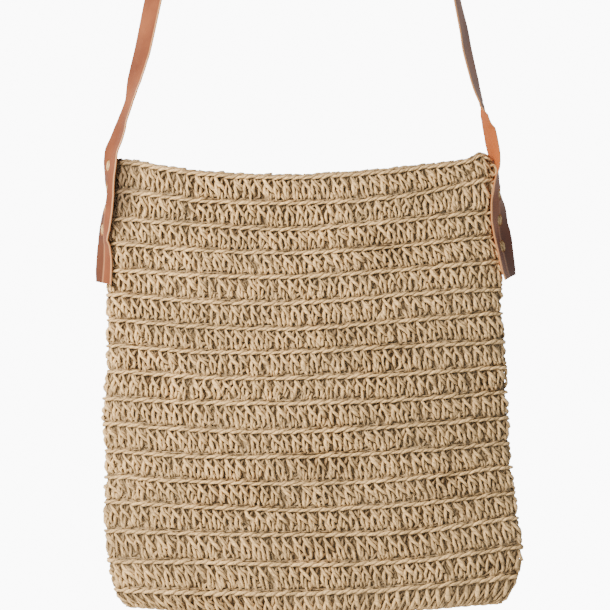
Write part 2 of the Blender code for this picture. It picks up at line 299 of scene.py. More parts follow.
def line_below(down, inset):
    """Where the bag lies at a number of rounds below the rim: a ridge's values, and half its depth."""
    last = ROUNDS - 1
    fullness = math.sin(math.pi * min(down, last) / ROUNDS)
    depth = lerp(RIM_HALF_DEPTH, BELLY_HALF_DEPTH, fullness) - inset
    rim = Ridge(*(height + RIM_CHAIN_DROP for height in RIDGES[0][:5]), *RIDGES[0][5:])
    if down <= 0:
        raised = [height + down * ROUND_HEIGHT / MM for height in rim[:5]]
        return Ridge(*raised, *rim[5:]), RIM_HALF_DEPTH - inset
    if down < last:
        k = int(down)
        share = down - k
        upper = RIDGES[k] if k else rim
        return Ridge(*(lerp(a, b, share) for a, b in zip(upper, RIDGES[k + 1]))), depth
    angle = min(down - last, 1) * math.pi / 2
    turned = (1 - math.cos(angle)) ** CORNER_POWER
    heights = [lerp(a, b, math.sin(angle)) for a, b in zip(RIDGES[last][:5], BOTTOM[:5])]
    edges = [lerp(a, b, turned) for a, b in zip(RIDGES[last][5:], BOTTOM[5:])]
    return Ridge(*heights, *edges), depth * math.cos(angle)


def lie_point(line, depth, s, side, edges_inset, lift):
    """A point of a line round the bag, at a place across from -1 to 1, in front (-1) or behind (1)."""
    fullness = max(0.0, 1 - abs(s) ** POWER) ** PINCH
    left = line.left_edge * MM + edges_inset[0]
    right = line.right_edge * MM - edges_inset[1]
    x = lerp(left, right, (s + 1) / 2)
    z = lift - CROWN_TO_RIM - smooth_through(PLACES, line[:5], s) * MM
    wave = math.sin(math.tau * x / SWAY_ACROSS + 1) * math.sin(math.tau * z / SWAY_DOWN)
    y = side * depth * fullness + SWAY * wave * (1 - s * s)
    return Vector((x, y, z))


def knuckle(down, x):
    """How far the stitches stand higher than the rest of the rim, at a place across."""
    reach = (x - KNUCKLE_PLACE) / KNUCKLE_SPREAD
    return KNUCKLE_RISE * math.exp(-reach * reach) * min(max(1 - down, 0.0), 1.0)


def row_round(down, columns, inset, edges_inset, lift=0.0):
    """Evenly spaced points once round the bag: over the front from its left edge, and back behind."""
    line, depth = line_below(down, inset)
    row = []
    for side in (-1, 1):
        places = [side * math.cos(math.pi * step / PROFILE_STEPS) for step in range(PROFILE_STEPS + 1)]
        fine = [lie_point(line, depth, s, side, edges_inset, lift) for s in places]
        run = lengths_along(fine)
        at = 0
        for column in range(columns // 2):
            wanted = run[-1] * column / (columns // 2)
            while run[at + 1] < wanted:
                at += 1
            share = (wanted - run[at]) / (run[at + 1] - run[at])
            point = fine[at].lerp(fine[at + 1], share)
            point.z += knuckle(down, point.x)
            row.append(point)
    return row


def side_insets(down):
    """How far in from the bag's left and right edge its strands are worked, some rounds down."""
    below_strap = [min(max(down - end, 0.0), 1.0) for end in STRAP_END_ROUNDS]
    return [lerp(EDGE_INSET_AT_STRAP, EDGE_INSET_BELOW, share) for share in below_strap]


def make_lie():
    """The surface on which the stitches are worked; its UV map counts stitches round and rounds down."""
    bm = bmesh.new()
    uv = bm.loops.layers.uv.new("stitch_place")
    columns = STITCHES_ROUND * LIE_COLUMNS_A_STITCH
    rows_down = round((ROUNDS + LIE_ABOVE_RIM) * LIE_ROWS_A_ROUND)
    rows = []
    for row in range(rows_down + 1):
        down = row / rows_down * (ROUNDS + LIE_ABOVE_RIM) - LIE_ABOVE_RIM
        rows.append([bm.verts.new(point) for point in row_round(down, columns, 0.0, side_insets(down))])
    for row, column, a, b, c, d in net(rows):
        face = bm.faces.new((c, d, b, a))
        for loop, (right, below) in zip(face.loops, ((0, 1), (1, 1), (1, 0), (0, 0))):
            loop[uv].uv = ((column + right) / columns, (row + below) / rows_down)
    mesh = drawn_mesh("lie_of_the_bag", bm)
    outward = mesh.attributes.new("outward", "FLOAT_VECTOR", "POINT")
    for point, vertex in zip(outward.data, mesh.vertices):
        point.vector = vertex.normal
    return object_of("lie_of_the_bag", mesh)


# Strands of one stitch, in millimetres from where its post leaves the ridge: right, up, and out of the
# cloth. kept is the share of stitches that show the strand, turn its unevenness in radians
Strand = namedtuple("Strand", "name radius sections sides kept turn wander seed path")
STRANDS = [
    Strand("ridge_strands", 1.08, 8, 6, 1.0, 0.05, 1.0, 11, [
        (-1.2, -1.3, -0.7), (0.4, -0.9, 0.7), (3.2, -0.3, 1.35), (6.6, 0.3, 1.25), (9.6, 0.8, 0.6),
        (11.8, 1.1, -0.7),
    ]),
    Strand("under_ridge_strands", 0.9, 5, 5, 1.0, 0.08, 1.2, 12, [
        (-3.0, 1.5, -1.2), (0.0, 2.0, -0.4), (3.0, 2.2, -0.3), (6.5, 2.7, -1.2),
    ]),
    Strand("post_strands", 1.32, 8, 6, 1.0, 0.08, 1.8, 13, [
        (-1.1, 0.3, -0.9), (-0.4, -1.6, -0.1), (0.5, -3.8, 0.8), (2.4, -6.4, 1.35), (4.5, -8.8, 1.15),
        (6.0, -10.6, -0.5),
    ]),
    Strand("second_post_strands", 1.1, 6, 5, 0.55, 0.12, 2.0, 14, [
        (1.5, -1.6, -0.9), (2.4, -3.9, 0.15), (4.4, -6.2, 0.2), (6.6, -8.6, -0.9),
    ]),
    Strand("leg_strands", 1.3, 6, 6, 0.97, 0.09, 1.8, 15, [
        (1.2, -4.4, -0.9), (0.3, -6.6, 0.4), (-0.1, -9.2, 1.1), (0.4, -12.0, 1.2), (1.4, -14.6, -0.1),
    ]),
    Strand("short_leg_strands", 1.2, 5, 6, 0.94, 0.10, 1.8, 16, [
        (2.8, -8.9, -0.8), (3.3, -11.0, 0.7), (3.6, -13.2, 1.1), (3.0, -15.4, 0.0),
    ]),
    Strand("heel_strands", 1.15, 5, 5, 0.92, 0.13, 2.0, 17, [
        (5.2, -11.6, -0.8), (5.7, -13.5, 0.75), (6.0, -15.3, 0.8), (6.4, -17.2, -0.6),
    ]),
    Strand("toe_strands", 1.1, 5, 5, 0.9, 0.14, 2.0, 18, [
        (1.2, -12.4, -0.9), (1.7, -14.2, 0.45), (2.1, -15.8, 0.5), (2.3, -17.4, -0.7),
    ]),
    Strand("deep_strands", 1.15, 5, 5, 1.0, 0.22, 2.2, 19, [
        (7.0, -0.2, -1.5), (5.0, -2.6, -0.5), (3.8, -5.8, -0.5), (2.4, -9.4, -1.4),
    ]),
    Strand("deep_cross_strands", 1.1, 5, 5, 1.0, 0.22, 2.4, 20, [
        (-1.2, -16.6, -1.2), (1.0, -15.0, -0.2), (3.0, -13.6, 0.0), (5.6, -12.4, -1.2),
    ]),
]
# The rim's own chain, which covers the wall's top: its outer row stands behind the first ridge
RIM_STRANDS = [
    Strand("rim_top_strands", 1.15, 7, 6, 1.0, 0.06, 0.6, 21, [
        (-1.5, 0.3, -1.4), (0.6, 1.5, -0.5), (3.6, 1.9, -0.5), (7.0, 1.6, -0.8), (9.2, 0.2, -1.9),
    ]),
    Strand("rim_inner_strands", 1.15, 7, 6, 1.0, 0.06, 0.6, 22, [
        (-1.5, -0.3, -3.6), (0.6, 1.1, -3.0), (3.6, 1.6, -2.8), (7.0, 1.2, -3.1), (9.2, -0.4, -3.8),
    ]),
]

# The inner face of the top rounds, as far down as the mouth lets one see
INNER_STRANDS = [
    Strand("inner_ridge_strands", 1.1, 5, 5, 1.0, 0.08, 1.4, 24, [
        (-1.2, -1.2, -4.0), (2.0, -0.8, -5.5), (5.6, -0.4, -5.6), (9.0, 0.2, -4.0),
    ]),
    Strand("inner_post_strands", 1.5, 6, 5, 1.0, 0.10, 1.8, 25, [
        (0.6, 0.0, -4.1), (1.0, -4.2, -5.5), (1.8, -9.0, -5.7), (2.4, -14.0, -5.5), (2.8, -18.0, -4.1),
    ]),
    Strand("inner_second_strands", 1.4, 6, 5, 0.95, 0.12, 1.8, 26, [
        (4.4, -1.0, -4.1), (4.8, -5.2, -5.4), (5.5, -10.0, -5.6), (6.0, -15.0, -5.4), (6.2, -18.6, -4.1),
    ]),
]

# The chain from which the bag was begun, along the fold at its bottom
FOUNDATION_STRANDS = [
    Strand("foundation_strands", 1.15, 7, 6, 1.0, 0.08, 1.0, 23, [
        (-1.5, -0.9, -0.8), (0.4, -0.5, 0.5), (3.4, 0.2, 0.9), (6.8, 0.5, 0.6), (9.2, 1.0, -0.8),
    ]),
]
# Each group's number of rounds, and where the first of them lies
STRAND_GROUPS = (
    (STRANDS, ROUNDS, 0.0), (RIM_STRANDS, 1, 0.0), (INNER_STRANDS, 3, 0.0), (FOUNDATION_STRANDS, 1, 16.9)
)

# The gauge of every strand, its rounds' sideways creep as a share of a stitch, and its unevenness
GAUGE = {
    "Stitches round": STITCHES_ROUND, "Stitch width": STITCH_WIDTH, "Round height": ROUND_HEIGHT,
    "Creep": 0.37, "Size spread": 0.06, "Lumps": 0.0014, "End thinning": 1.2,
}
# What moves the strands, in cells to the metre: their wandering, looser stretches, and lumps of yarn
WANDER_SCALE = 120.0
TENSION_SCALE = 16.0
LUMP_SCALE = 330.0

# Named inputs of the trees, by the kind of their sockets
YARN_INPUTS = {
    "Geometry": ["Strand path"], "Int": ["Sections", "Sides"], "Float": ["Strand radius", "End thinning"]
}
LACING_INPUTS = {"Material": ["Yarn"], "Float": ["Height"]}
STITCH_INPUTS = {
    "Object": ["Lie of the bag"], "Material": ["Yarn"], "Int": ["Stitches round", "Rounds", "Seed"],
    "Float": [
        "First round", "Stitch width", "Round height", "Creep", "Kept share", "Turn", "Size spread",
        "Wander", "Lumps",
    ],
}


def new_tree(name, output, *inputs):
    """A geometry tree with named inputs, what adds its nodes, and the sockets that hand inputs on."""
    tree = bpy.data.node_groups.new(name, "GeometryNodeTree")
    for kind, labels in [item for group in inputs for item in group.items()]:
        for label in labels:
            tree.interface.new_socket(label, in_out="INPUT", socket_type="NodeSocket" + kind)
    tree.interface.new_socket(output, in_out="OUTPUT", socket_type="NodeSocketGeometry")
    return tree, partial(add, tree), tree.nodes.new("NodeGroupInput").outputs


def spin(node, given, yarn_tree):
    """The strand itself, with the yarn tree's inputs taken from those of this tree."""
    passed = {name: given[name] for names in YARN_INPUTS.values() for name in names}
    return node("GeometryNodeGroup", passed, node_tree=yarn_tree)


def end_tree(node, strands, yarn):
    """Makes one smooth mesh of the strands, in their material, and hands it out."""
    shaded = node("GeometryNodeSetShadeSmooth", [strands])
    whole = node("GeometryNodeRealizeInstances", [shaded])
    dressed = node("GeometryNodeSetMaterial", {0: whole, "Material": yarn})
    node("NodeGroupOutput", [dressed])


def make_yarn_tree():
    """A round yarn along a path of edges, thinner at both ends, that knows its own twist."""
    tree, node, given = new_tree("yarn_along_a_path", "Yarn length", YARN_INPUTS)
    curve = node("GeometryNodeMeshToCurve", [given["Strand path"]])
    smooth = node("GeometryNodeCurveSplineType", [curve], spline_type="CATMULL_ROM")
    cut = node("GeometryNodeResampleCurve", {0: smooth, "Count": given["Sections"]})
    along = node("GeometryNodeSplineParameter")
    from_middle = node(MATH, [along.outputs["Factor"], 0.5], "SUBTRACT")
    squared = node(MATH, [from_middle, from_middle], "MULTIPLY")
    thinned = node(MATH, [squared, given["End thinning"]], "MULTIPLY")
    taper = node(MATH, [1.0, thinned], "SUBTRACT")
    sizes = {"Resolution": given["Sides"], "Radius": given["Strand radius"]}
    circle = node("GeometryNodeCurvePrimitiveCircle", sizes, mode="RADIUS")
    place = node("GeometryNodeInputPosition")
    # The length along the yarn and the place round it are noted before its mesh is made
    noted = []
    for line, kind, name, value in (
        (cut, "FLOAT", "run", along.outputs["Length"]), (circle, "VECTOR", "around", place.outputs[0])
    ):
        noted.append(node("GeometryNodeCaptureAttribute"))
        noted[-1].capture_items.new(kind, name)
        tree.links.new(line.outputs[0], noted[-1].inputs[0])
        tree.links.new(value, noted[-1].inputs[1])
    run, around = noted
    lines = {"Curve": run, "Profile Curve": around, "Scale": taper, "Fill Caps": True}
    tube = node("GeometryNodeCurveToMesh", lines)
    split = node("ShaderNodeSeparateXYZ", [around.outputs[1]])
    yarn_run = node("ShaderNodeCombineXYZ", [split, split.outputs[1], run.outputs[1]])
    named = node(STORE, {0: tube, "Name": "yarn_run", "Value": yarn_run}, data_type="FLOAT_VECTOR")
    node("NodeGroupOutput", [named])
    return tree


def make_lacing_tree(yarn_tree):
    """One loop of lacing yarn through a hole of the strap."""
    tree, node, given = new_tree("lacing_loop", "Lacing", YARN_INPUTS, LACING_INPUTS)
    loop = spin(node, given, yarn_tree)
    # The lacing is kept out of the shadow of the strap that is painted on the yarn
    for name, value in (("strand_height", given["Height"]), ("strand_tone", 0.5), ("fresh_yarn", 1.0)):
        loop = node(STORE, {0: loop, "Name": name, "Value": value})
    end_tree(node, loop, given["Yarn"])
    return tree


def make_stitch_tree(yarn_tree):
    """Works one strand of a stitch over and over, round by round, on the lie of the bag."""
    tree, node, given = new_tree("strands_of_stitches", "Strands", YARN_INPUTS, STITCH_INPUTS)
    strand = spin(node, given, yarn_tree)

    # A point for each stitch, round by round
    stitches, width, height = (given[name] for name in ("Stitches round", "Stitch width", "Round height"))
    index = node("GeometryNodeInputIndex")
    stitch = node(MATH, [index, stitches], "MODULO")
    count = node(MATH, [stitches, given["Rounds"]], "MULTIPLY")
    rounds = node(MATH, [index, stitches], "DIVIDE")
    whole = node(MATH, [rounds], "FLOOR")
    crept = node(MATH, [whole, given["Creep"], stitch], "MULTIPLY_ADD")
    right = node(MATH, [crept, width], "MULTIPLY")
    down = node(MATH, [whole, given["First round"]], "ADD")
    fallen = node(MATH, [down, height], "MULTIPLY")
    up = node(MATH, [fallen, -1.0], "MULTIPLY")
    spot = node("ShaderNodeCombineXYZ", [right, up])
    points = node("GeometryNodePoints", {"Count": count, "Position": spot})

    # Each stitch is pulled a little differently
    seed, spread = given["Seed"], given["Size spread"]
    kept = node("FunctionNodeRandomValue", {6: given["Kept share"], 8: seed}, data_type="BOOLEAN")
    least_turn = node(MATH, [given["Turn"], -1.0], "MULTIPLY")
    least_size = node(MATH, [1.0, spread], "SUBTRACT")
    most_size = node(MATH, [1.0, spread], "ADD")
    turn, size, tone = (
        node("FunctionNodeRandomValue", {2: least, 3: most, 8: seed}).outputs[1]
        for least, most in ((least_turn, given["Turn"]), (least_size, most_size), (0.0, 1.0))
    )
    turned = node("ShaderNodeCombineXYZ", {2: turn})
    rotation = node("FunctionNodeEulerToRotation", [turned])
    worked = {"Points": points, "Selection": kept.outputs[3], "Instance": strand}
    worked |= {"Rotation": rotation, "Scale": size}
    placed = node("GeometryNodeInstanceOnPoints", worked)
    toned = node(STORE, {0: placed, "Name": "strand_tone", "Value": tone}, domain="INSTANCE")
    one = node("GeometryNodeRealizeInstances", [toned])

    # The strands wander off their places, more in some stretches than in others, and the yarn has lumps
    here = node("GeometryNodeInputPosition")
    soft, tension, slubs = (
        node(NOISE, {"Vector": here, "Scale": scale, "Detail": 1.0})
        for scale in (WANDER_SCALE, TENSION_SCALE, LUMP_SCALE)
    )
    centred = node(VECTOR_MATH, [soft.outputs["Color"], (0.5, 0.5, 0.5)], "SUBTRACT")
    loose = node(MAP_RANGE, [tension, 0.35, 0.68, 0.5, 1.35])
    reach = node(MATH, [loose, given["Wander"]], "MULTIPLY")
    wander = node(VECTOR_MATH, {0: centred, "Scale": reach}, "SCALE")
    moved = node(VECTOR_MATH, [here, wander], "ADD")
    thicker = node(MATH, [slubs, 0.5], "SUBTRACT")
    swollen = node(MATH, [thicker, given["Lumps"]], "MULTIPLY")
    normal = node("GeometryNodeInputNormal")
    swell = node(VECTOR_MATH, {0: normal, "Scale": swollen}, "SCALE")
    moved = node(VECTOR_MATH, [moved, swell], "ADD")

    # Then they are laid over the lie of the bag
    flat = node("ShaderNodeSeparateXYZ", [moved])
    girth = node(MATH, [stitches, width], "MULTIPLY")
    u = node(MATH, [flat, girth], "DIVIDE")
    u_round = node(MATH, [u], "FRACT")
    u_safe = node(MATH, [u_round, 0.9999, 0.00005], "MULTIPLY_ADD")
    below = node(MATH, [flat.outputs[1], height], "DIVIDE")
    from_top = node(MATH, [LIE_ABOVE_RIM, below], "SUBTRACT")
    v = node(MATH, [from_top, ROUNDS + LIE_ABOVE_RIM], "DIVIDE")
    v_safe = node("ShaderNodeClamp", {"Value": v, "Min": 0.0005, "Max": 0.9995})
    place = node("ShaderNodeCombineXYZ", [u_safe, v_safe])
    lie = node("GeometryNodeObjectInfo", {"Object": given["Lie of the bag"]}).outputs["Geometry"]
    uv, outward = (
        node("GeometryNodeInputNamedAttribute", {"Name": name}, data_type="FLOAT_VECTOR")
        for name in ("stitch_place", "outward")
    )
    on_lie, way_out = (
        node("GeometryNodeSampleUVSurface", [lie, value, uv, place], data_type="FLOAT_VECTOR")
        for value in (node("GeometryNodeInputPosition"), outward)
    )
    unit = node(VECTOR_MATH, [way_out], "NORMALIZE")
    raised = node(VECTOR_MATH, {0: unit, "Scale": flat.outputs[2]}, "SCALE")
    landed = node(VECTOR_MATH, [on_lie, raised], "ADD")
    noted = node(STORE, {0: one, "Name": "strand_height", "Value": flat.outputs[2]})
    laid = node("GeometryNodeSetPosition", {0: noted, "Position": landed})
    end_tree(node, laid, given["Yarn"])
    return tree


def yarn_object(name, path, tree, wanted):
    """A strand's path as a chain of edges, worked by a tree whose named inputs are given."""
    mesh = bpy.data.meshes.new(name)
    places = [Vector(point) * MM for point in path]
    mesh.from_pydata(places, [(k, k + 1) for k in range(len(places) - 1)], [])
    maker = object_of(name, mesh)
    work = maker.modifiers.new("yarn", "NODES")
    work.node_group = tree
    for item in tree.interface.items_tree:
        if item.in_out == "INPUT" and item.name in wanted:
            work[item.identifier] = wanted[item.name]
    return maker


def work_strands(tree, lie, yarn, strand, rounds, first_round):
    """One kind of strand of every stitch, as one piece."""
    wanted = {
        **GAUGE, "Lie of the bag": lie, "Yarn": yarn, "Rounds": rounds, "First round": first_round,
        "Strand radius": strand.radius * MM, "Sections": strand.sections, "Sides": strand.sides,
        "Kept share": strand.kept, "Turn": strand.turn, "Seed": strand.seed,
        # The noise behind it reaches half a unit each way
        "Wander": strand.wander * 2 * MM,
    }
    maker = yarn_object("path_of_" + strand.name, strand.path, tree, wanted)
    piece = object_of(strand.name, plain_mesh(strand.name, maker))
    finish_piece(piece, "bag_body")
    return piece


def make_cloth(finish):
    """The cloth behind the strands: one closed sheet with an outer and an inner face."""
    bm = bmesh.new()
    columns = STITCHES_ROUND * CLOTH_COLUMNS_A_STITCH
    last = ROUNDS - 1
    rings = []
    # Inner face, from the fold at the bottom up to the rim
    inner_rows = [last + share for share in CLOTH_FOLD_ROWS]
    inner_rows += [last - step * 0.5 for step in range(2 * last)] + list(CLOTH_RIM_ROWS)
    for down in inner_rows:
        lift = BOTTOM_WALL * max(0.0, down - last)
        rings.append(row_round(down, columns, WALL, (SIDE_WALL, SIDE_WALL), lift))
    # Outer face, from the rim down to the bottom
    steps = ROUNDS * CLOTH_ROWS_A_ROUND
    for step in range(steps + 1):
        down = lerp(CLOTH_TOP, ROUNDS - CLOTH_SHORT_OF_BOTTOM, step / steps)
        from_ridge = abs((down + 0.5) % 1 - 0.5) * 2
        sunk = lerp(CLOTH_SUNK_AT_RIDGE, CLOTH_SUNK, min(1.0, from_ridge * 4))
        edges = [inset + CLOTH_EDGE_SUNK for inset in side_insets(down)]
        rings.append(row_round(down, columns, sunk, edges))
    rings = [[bm.verts.new(point) for point in ring] for ring in rings]
    for _, _, a, b, c, d in net(rings):
        bm.faces.new((a, c, d, b))
    # The seam along the bottom, inside and out
    for ring, turned in ((rings[0], False), (rings[-1], True)):
        for k in range(columns // 2):
            facing = (ring[(columns - k - 1) % columns], ring[(columns - k) % columns])
            corners = list(dict.fromkeys((ring[k], ring[k + 1], *facing)))
            bm.faces.new(corners if turned else corners[::-1])
    mesh = drawn_mesh("crochet_cloth", bm)
    mesh.shade_smooth()
    piece = object_of("crochet_cloth", mesh, finish)
    finish_piece(piece, "bag_body")
    return piece


# The strap

# One place along the strap: its outer face's centre line, the way along it, the way across to the inside
# of its loop, and the ways in which its front and back halves lie
Section = namedtuple("Section", "centre along inward front_way back_way")


def leg_places(leg):
    """The centres and the two turns of a leg's sections, from its laced end to its table's top."""
    heights, across = zip(*(lie[:2] for lie in leg))
    made = []
    for lower, upper in zip(leg, leg[1:]):
        steps = max(1, round((upper.above - lower.above) * MM / STEP_ALONG))
        for step in range(steps):
            share = step / steps
            above = lerp(lower.above, upper.above, share)
            centre = Vector((smooth_through(heights, across, above), 0, above)) * MM
            centre.z -= CROWN_TO_RIM
            eased = share * share * (3 - 2 * share) * 0.5 + share * 0.5
            made.append((centre, *(lerp(a, b, eased) for a, b in zip(lower[2:], upper[2:]))))
    return made


def crown_point(angle):
    return Vector((OUTER_RADIUS * math.cos(angle), 0, OUTER_RADIUS * math.sin(angle) - CROWN_RADIUS))


def straight_leg(lie, side):
    """The straight stretch from the top row of a leg's table to the crown, where its turn ends."""
    top = Vector((lie.across * MM, 0, lie.above * MM - CROWN_TO_RIM))
    away = top + Vector((0, 0, CROWN_RADIUS))
    angle = math.atan2(away.z, away.x) + side * math.acos(OUTER_RADIUS / away.length)
    meets = crown_point(angle)
    made = []
    for step in range(LEG_STEPS):
        share = step / LEG_STEPS
        left = (1 + math.cos(math.pi * share)) / 2
        made.append((top.lerp(meets, share), lie.front_turn * left, lie.back_turn * left))
    return made, angle


def strap_sections():
    """Every section of the strap, from its left end over the crown to its right end."""
    left, left_angle = straight_leg(LEFT_LEG[-1], -1)
    right, right_angle = straight_leg(RIGHT_LEG[-1], 1)
    left_angle %= math.tau
    places = leg_places(LEFT_LEG) + left
    for step in range(CROWN_STEPS + 1):
        places.append((crown_point(lerp(left_angle, right_angle, step / CROWN_STEPS)), 0, 0))
    places += reversed(leg_places(RIGHT_LEG) + right)
    sections = []
    for k, (centre, front_turn, back_turn) in enumerate(places):
        along = (places[min(k + 1, len(places) - 1)][0] - places[max(k - 1, 0)][0]).normalized()
        inward = along.cross(FORWARD)
        front, back = math.radians(front_turn), math.radians(back_turn)
        front_way = math.cos(front) * FORWARD + math.sin(front) * inward
        back_way = -math.cos(back) * FORWARD - math.sin(back) * inward
        sections.append(Section(centre, along, inward, front_way, back_way))
    return sections


STRAP_COLUMNS = 16
EDGE_ROUNDING = 0.0004
FOLD_ROUNDING = 0.1
OUTER, INNER, EDGE = 0, 1, 2
# Which face of the leather each stretch of a section's outline is
FACES = [OUTER] * (STRAP_COLUMNS + 1) + [EDGE] + [INNER] * (STRAP_COLUMNS + 2) + [EDGE, OUTER]


def section_loop(section, slant):
    """The closed outline of the strap at a section: its outer face from the front, its inner one back."""
    half = STRAP_WIDTH / 2
    outline = []
    for column in range(STRAP_COLUMNS + 1):
        t = 2 * column / STRAP_COLUMNS - 1
        to_front = (math.sqrt(t * t + FOLD_ROUNDING**2) - t) / 2
        to_back = (math.sqrt(t * t + FOLD_ROUNDING**2) + t) / 2
        bend = FOLD_ROUNDING / 2 * (1 - abs(t))
        to_edge = section.front_way * half * (to_front - bend)
        point = section.centre + to_edge + section.back_way * half * (to_back - bend)
        outline.append(point + Vector((0, 0, slant * t)))
    last = len(outline) - 1
    ways = [(outline[min(k + 1, last)] - outline[max(k - 1, 0)]).normalized() for k in range(last + 1)]
    inside = [way.cross(section.along).normalized() for way in ways]
    if inside[0].dot(section.inward) < 0:
        inside = [-way for way in inside]
    # Both faces are set in a little at each edge
    shifts = [way * EDGE_ROUNDING * ((k == 0) - (k == last)) for k, way in enumerate(ways)]
    outer = [point + shift for point, shift in zip(outline, shifts)]
    inner = [point + way * STRAP_THICKNESS + shift for point, way, shift in zip(outline, inside, shifts)]
    depths = (EDGE_ROUNDING, STRAP_THICKNESS - EDGE_ROUNDING)
    back_edge = [outline[last] + inside[last] * depth for depth in depths]
    front_edge = [outline[0] + inside[0] * depth for depth in reversed(depths)]
    return outer + back_edge + inner[::-1] + front_edge


def lacing_holes(sections):
    """Each hole's middle on the strap's outer face, its directions and the way out of the leather."""
    holes = []
    for side, shift, heights in HOLE_ROWS:
        leg = [section for section in sections if section.centre.x * side > CROWN_RADIUS]
        for height in heights:
            level = height - CROWN_TO_RIM
            near = min(leg, key=lambda section: abs(section.centre.z - level))
            back = near.back_way
            out = back.cross(near.along).normalized()
            if out.dot(near.inward) > 0:
                out = -out
            centre = near.centre + back * shift
            centre.z = level
            holes.append((centre, back, near.along, out))
    return holes


def hole_cutter(sections, materials):
    bm = bmesh.new()
    for centre, back, along, out in lacing_holes(sections):
        turned = Matrix((back * HOLE_WIDTH / 2, along * HOLE_LENGTH / 2, out * PUNCH_LENGTH))
        placed = Matrix.Translation(centre) @ turned.transposed().to_4x4()
        bmesh.ops.create_cone(
            bm, cap_ends=True, segments=HOLE_SIDES, radius1=1, radius2=1, depth=1, matrix=placed
        )
    bmesh.ops.recalc_face_normals(bm, faces=bm.faces)
    for face in bm.faces:
        face.material_index = EDGE
    return object_of("lacing_hole_punch", drawn_mesh("lacing_hole_punch", bm), *materials)


# A loop of lacing, in millimetres from its hole: towards the back, along the strap, out of the leather
LACING_PATH = [
    (0.2, 2.0, -9.0), (0.4, 3.4, -5.0), (0.6, 3.6, -2.2), (0.6, 2.2, -0.9), (0.6, 0.0, -0.6),
    (0.6, -2.2, -0.9), (0.6, -3.6, -2.2), (0.4, -3.4, -5.0), (0.2, -2.0, -9.0),
]
# Three turns go through each hole: how far towards its back, and how deep, each lies
LACING_TURNS = ((1.3, 0.4), (-0.6, 1.3), (-2.4, 1.5))
LACING_YARN = {
    "Strand radius": 1.15 * MM, "Sections": 40, "Sides": 10, "End thinning": 0.8, "Height": 0.0016
}


def make_lacing(tree, yarn, sections):
    """The jute lacing: a loop of yarn through each hole, round the edge stitches of the body."""
    bm = bmesh.new()
    turns = [(hole, turn) for hole in lacing_holes(sections) for turn in LACING_TURNS]
    for (centre, back, along, out), (shift, depth) in turns:
        path = [centre / MM + back * (a + shift) + along * b + out * (c - depth) for a, b, c in LACING_PATH]
        maker = yarn_object("path_of_lacing", path, tree, {**LACING_YARN, "Yarn": yarn})
        loop = plain_mesh("lacing_loop", maker)
        bm.from_mesh(loop)
        bpy.data.meshes.remove(loop)
    finish_piece(object_of("jute_lacing", drawn_mesh("jute_lacing", bm), yarn), "strap")


def make_strap(sections, materials):
    """The strap: its section drawn out along its length, with its lacing holes punched."""
    bm = bmesh.new()
    run = bm.loops.layers.uv.new("strap_run")
    rows = []
    for k, section in enumerate(sections):
        slant = END_SLANT if k in (0, len(sections) - 1) else 0.0
        rows.append([bm.verts.new(point) for point in section_loop(section, slant)])
    length = lengths_along([section.centre for section in sections])
    count = len(rows[0])
    for row, k, a, b, c, d in net(rows):
        face = bm.faces.new((b, a, c, d))
        face.material_index = FACES[k]
        for loop, (across, further) in zip(face.loops, ((1, 0), (0, 0), (0, 1), (1, 1))):
            column = k + across - count * (k == count - 1)
            loop[run].uv = (column * STRAP_WIDTH / STRAP_COLUMNS, length[row + further])
    for row, turned in ((rows[0], False), (rows[-1], True)):
        # Each cut end is closed by a strip of faces across the thickness
        for k in range(STRAP_COLUMNS):
            a, b = row[k], row[k + 1]
            c, d = row[2 * STRAP_COLUMNS + 2 - k], row[2 * STRAP_COLUMNS + 3 - k]
            bm.faces.new((a, d, c, b) if turned else (a, b, c, d)).material_index = EDGE
        for first in (STRAP_COLUMNS, 2 * STRAP_COLUMNS + 3):
            ends = [row[(first + step) % count] for step in range(4)]
            bm.faces.new(ends[::-1] if turned else ends).material_index = EDGE
    whole = object_of("strap_before_punching", drawn_mesh("leather_strap", bm), *materials)
    punch = hole_cutter(sections, materials)
    cut = whole.modifiers.new("lacing_holes", "BOOLEAN")
    cut.operation = "DIFFERENCE"
    cut.solver = "EXACT"
    cut.object = punch
    mesh = plain_mesh("leather_strap", whole)
    bpy.data.objects.remove(punch)
    mesh.shade_smooth()
    mesh.set_sharp_from_angle(angle=SHARP_ANGLE)
    finish_piece(object_of("leather_strap", mesh), "strap")


# Materials. Scales are in cells to the metre, and distances in metres

# Where the bag's front is darker, and where a shadow of the strap is painted on the left rim
DARKER_OVAL_PLACE = (0.074, -0.018, -0.76)
STRAP_SHADOW_PLACE = (-0.158, 0.0, -0.598)
# Browner stretches, some 50 mm long, that the strands and the cloth behind them share
BROWN_SCALE = 18.0
# A ply of the yarn goes once round in 9.2 mm
PLY_TURN = math.tau / 0.0092
# The lean of the cloth's yarns, which are some 2.6 mm apart, and the scale of the waves that draw them
CLOTH_LEAN = math.radians(24)
CLOTH_YARN_SCALE = 120.0
# Where the painted highlight on the fold and the painted shade behind it on the laced ends begin
FOLD_TOP = -0.600
SHADE_TOP = -0.597


def new_material(name):
    """An empty material, what adds its nodes, and the place on its piece."""
    made = bpy.data.materials.new(name)
    made.use_nodes = True
    made.node_tree.nodes.clear()
    node = partial(add, made.node_tree)
    return made, node, node("ShaderNodeTexCoord").outputs["Object"]


def finish_material(made, looks, relief=None, strength=0.0, depth=0.0):
    """The material with its one shader, whose sockets are given their looks, and a relief's bump."""
    node = partial(add, made.node_tree)
    if relief:
        bump = {"Strength": strength, "Distance": depth, "Height": relief}
        looks["Normal"] = node("ShaderNodeBump", bump)
    node("ShaderNodeOutputMaterial", {"Surface": node("ShaderNodeBsdfPrincipled", looks)})
    return made


